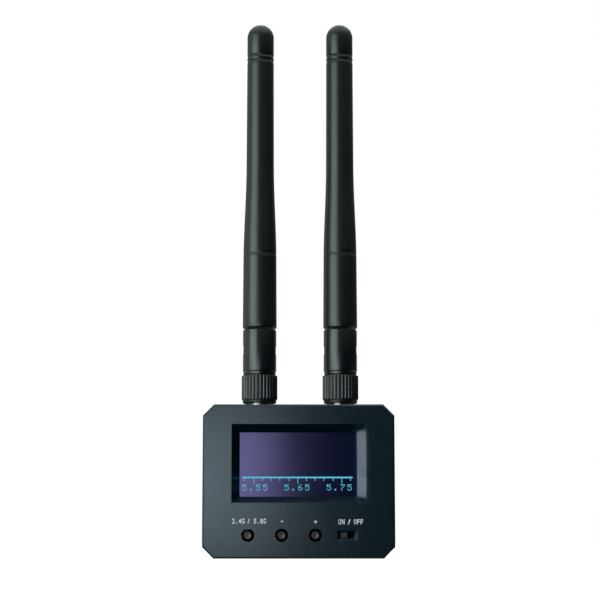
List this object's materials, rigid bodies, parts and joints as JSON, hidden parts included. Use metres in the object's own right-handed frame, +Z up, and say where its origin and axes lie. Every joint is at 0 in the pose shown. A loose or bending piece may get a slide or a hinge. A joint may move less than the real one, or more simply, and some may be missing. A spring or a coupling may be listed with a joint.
{
  "type": "spectrum analyzer",
  "caption": "Pocket radio spectrum analyzer: black box with a recessed display showing a frequency scale, a row of push buttons, a slide switch and two upright folding antennas.",
  "frame": {"origin": "bottom centre of the whole object, on the surface it stands on", "axes": "+X to the right as the display is read, +Y from the display face to the back, +Z up along the antennas"},
  "size_m": [0.051, 0.02, 0.148],
  "materials": {
    "case_plastic": "satin black moulded plastic",
    "screw_steel": "dark nickel",
    "circuit_board": "green solder mask",
    "display_circuit_board": "blue solder mask",
    "module_circuit_board": "dark green solder mask",
    "display_film": "glossy dark film",
    "display_glass": "thin glass with a dark back",
    "flat_cable": "amber film",
    "button_plastic": "satin black",
    "black_moulding": "matte black",
    "brown_moulding": "matte dark brown",
    "white_moulding": "off white",
    "chip_plastic": "matte black",
    "ceramic_chip": "matte tan",
    "stamped_steel": "bright tinned",
    "spring_steel": "plain spring steel",
    "shield_can": "tinned",
    "contact_brass": "bare brass",
    "gilded_brass": "gold plated",
    "nickel_plate": "nickel plated brass",
    "battery_foil": "dull foil pouch",
    "lead_insulation": "red insulation",
    "nut_plastic": "satin black",
    "swivel_plastic": "satin black",
    "antenna_rubber": "satin black rubbery plastic",
    "coax_jacket": "brown translucent jacket",
    "printed_legend": "matte off-white ink",
    "display_dots": "lit dots"
  },
  "bodies": {
    "case": {"front_shell": "case_plastic", "back_shell": "case_plastic", "case_screws": "screw_steel", "main_board": "circuit_board", "display_polarizer": "display_film", "display_glass": "display_glass", "display_board": "display_circuit_board", "display_flex": "flat_cable", "display_header": "black_moulding", "tact_housings": "black_moulding", "tact_covers": "stamped_steel", "tact_domes": "stamped_steel", "tact_leads": "stamped_steel", "switch_shell": "stamped_steel", "switch_base": "brown_moulding", "processor": "chip_plastic", "high_band_board": "module_circuit_board", "high_band_can": "shield_can", "low_band_board": "module_circuit_board", "low_band_can": "shield_can", "crystal": "shield_can", "passives": "ceramic_chip", "power_chips": "chip_plastic", "usb_shell": "stamped_steel", "usb_tongue": "black_moulding", "battery_cell": "battery_foil", "battery_leads": "lead_insulation", "battery_connector": "white_moulding", "left_jack": "nickel_plate", "right_jack": "nickel_plate", "jack_insulators": "white_moulding", "jack_contacts": "gilded_brass"},
    "mode_button": {"mode_button": "button_plastic"},
    "minus_button": {"minus_button": "button_plastic"},
    "plus_button": {"plus_button": "button_plastic"},
    "power_slider": {"power_knob": "button_plastic", "switch_contact": "contact_brass"},
    "left_plug": {"left_ferrule": "nickel_plate", "left_plug_insulator": "white_moulding", "left_plug_pin": "gilded_brass", "left_snap_ring": "spring_steel", "left_lower_coax": "coax_jacket"},
    "left_nut": {"left_hex_nut": "nickel_plate", "left_knurled_nut": "nut_plastic"},
    "left_swivel_base": {"left_swivel": "swivel_plastic"},
    "left_antenna": {"left_tube": "antenna_rubber", "left_upper_coax": "coax_jacket", "left_radiator": "contact_brass"},
    "right_plug": {"right_ferrule": "nickel_plate", "right_plug_insulator": "white_moulding", "right_plug_pin": "gilded_brass", "right_snap_ring": "spring_steel", "right_lower_coax": "coax_jacket"},
    "right_nut": {"right_hex_nut": "nickel_plate", "right_knurled_nut": "nut_plastic"},
    "right_swivel_base": {"right_swivel": "swivel_plastic"},
    "right_antenna": {"right_tube": "antenna_rubber", "right_upper_coax": "coax_jacket", "right_radiator": "contact_brass"}
  },
  "joints": [
    {"name": "mode_press", "type": "slide", "parent": "case", "child": "mode_button", "axis": [0, 1, 0], "range_m": [0, 0.00025], "stiffness_N_per_m": 4000, "springref_m": -0.0001},
    {"name": "minus_press", "type": "slide", "parent": "case", "child": "minus_button", "axis": [0, 1, 0], "range_m": [0, 0.00025], "stiffness_N_per_m": 4000, "springref_m": -0.0001},
    {"name": "plus_press", "type": "slide", "parent": "case", "child": "plus_button", "axis": [0, 1, 0], "range_m": [0, 0.00025], "stiffness_N_per_m": 4000, "springref_m": -0.0001},
    {"name": "power_slide", "type": "slide", "parent": "case", "child": "power_slider", "axis": [1, 0, 0], "range_m": [0, 0.00175]},
    {"name": "left_antenna_lift", "type": "slide", "parent": "case", "child": "left_plug", "axis": [0, 0, 1], "range_m": [0, 0.00423]},
    {"name": "left_nut_turn", "type": "hinge", "parent": "left_plug", "child": "left_nut", "pos_m": [-0.01068, 0, 0.045], "axis": [0, 0, 1], "range_deg": [0, 2160]},
    {"name": "left_swivel_turn", "type": "hinge", "parent": "left_plug", "child": "left_swivel_base", "pos_m": [-0.01068, 0, 0.0505], "axis": [0, 0, 1], "continuous": true},
    {"name": "left_antenna_tilt", "type": "hinge", "parent": "left_swivel_base", "child": "left_antenna", "pos_m": [-0.01068, 0, 0.0562], "axis": [-1, 0, 0], "range_deg": [0, 90]},
    {"name": "right_antenna_lift", "type": "slide", "parent": "case", "child": "right_plug", "axis": [0, 0, 1], "range_m": [0, 0.00423]},
    {"name": "right_nut_turn", "type": "hinge", "parent": "right_plug", "child": "right_nut", "pos_m": [0.01138, 0, 0.045], "axis": [0, 0, 1], "range_deg": [0, 2160]},
    {"name": "right_swivel_turn", "type": "hinge", "parent": "right_plug", "child": "right_swivel_base", "pos_m": [0.01138, 0, 0.0505], "axis": [0, 0, 1], "continuous": true},
    {"name": "right_antenna_tilt", "type": "hinge", "parent": "right_swivel_base", "child": "right_antenna", "pos_m": [0.01138, 0, 0.0562], "axis": [-1, 0, 0], "range_deg": [0, 90]}
  ],
  "couplings": [
    {"joint": "left_nut_turn", "follows": "left_antenna_lift", "rad_per_m": 8904.7},
    {"joint": "right_nut_turn", "follows": "right_antenna_lift", "rad_per_m": 8904.7}
  ]
}
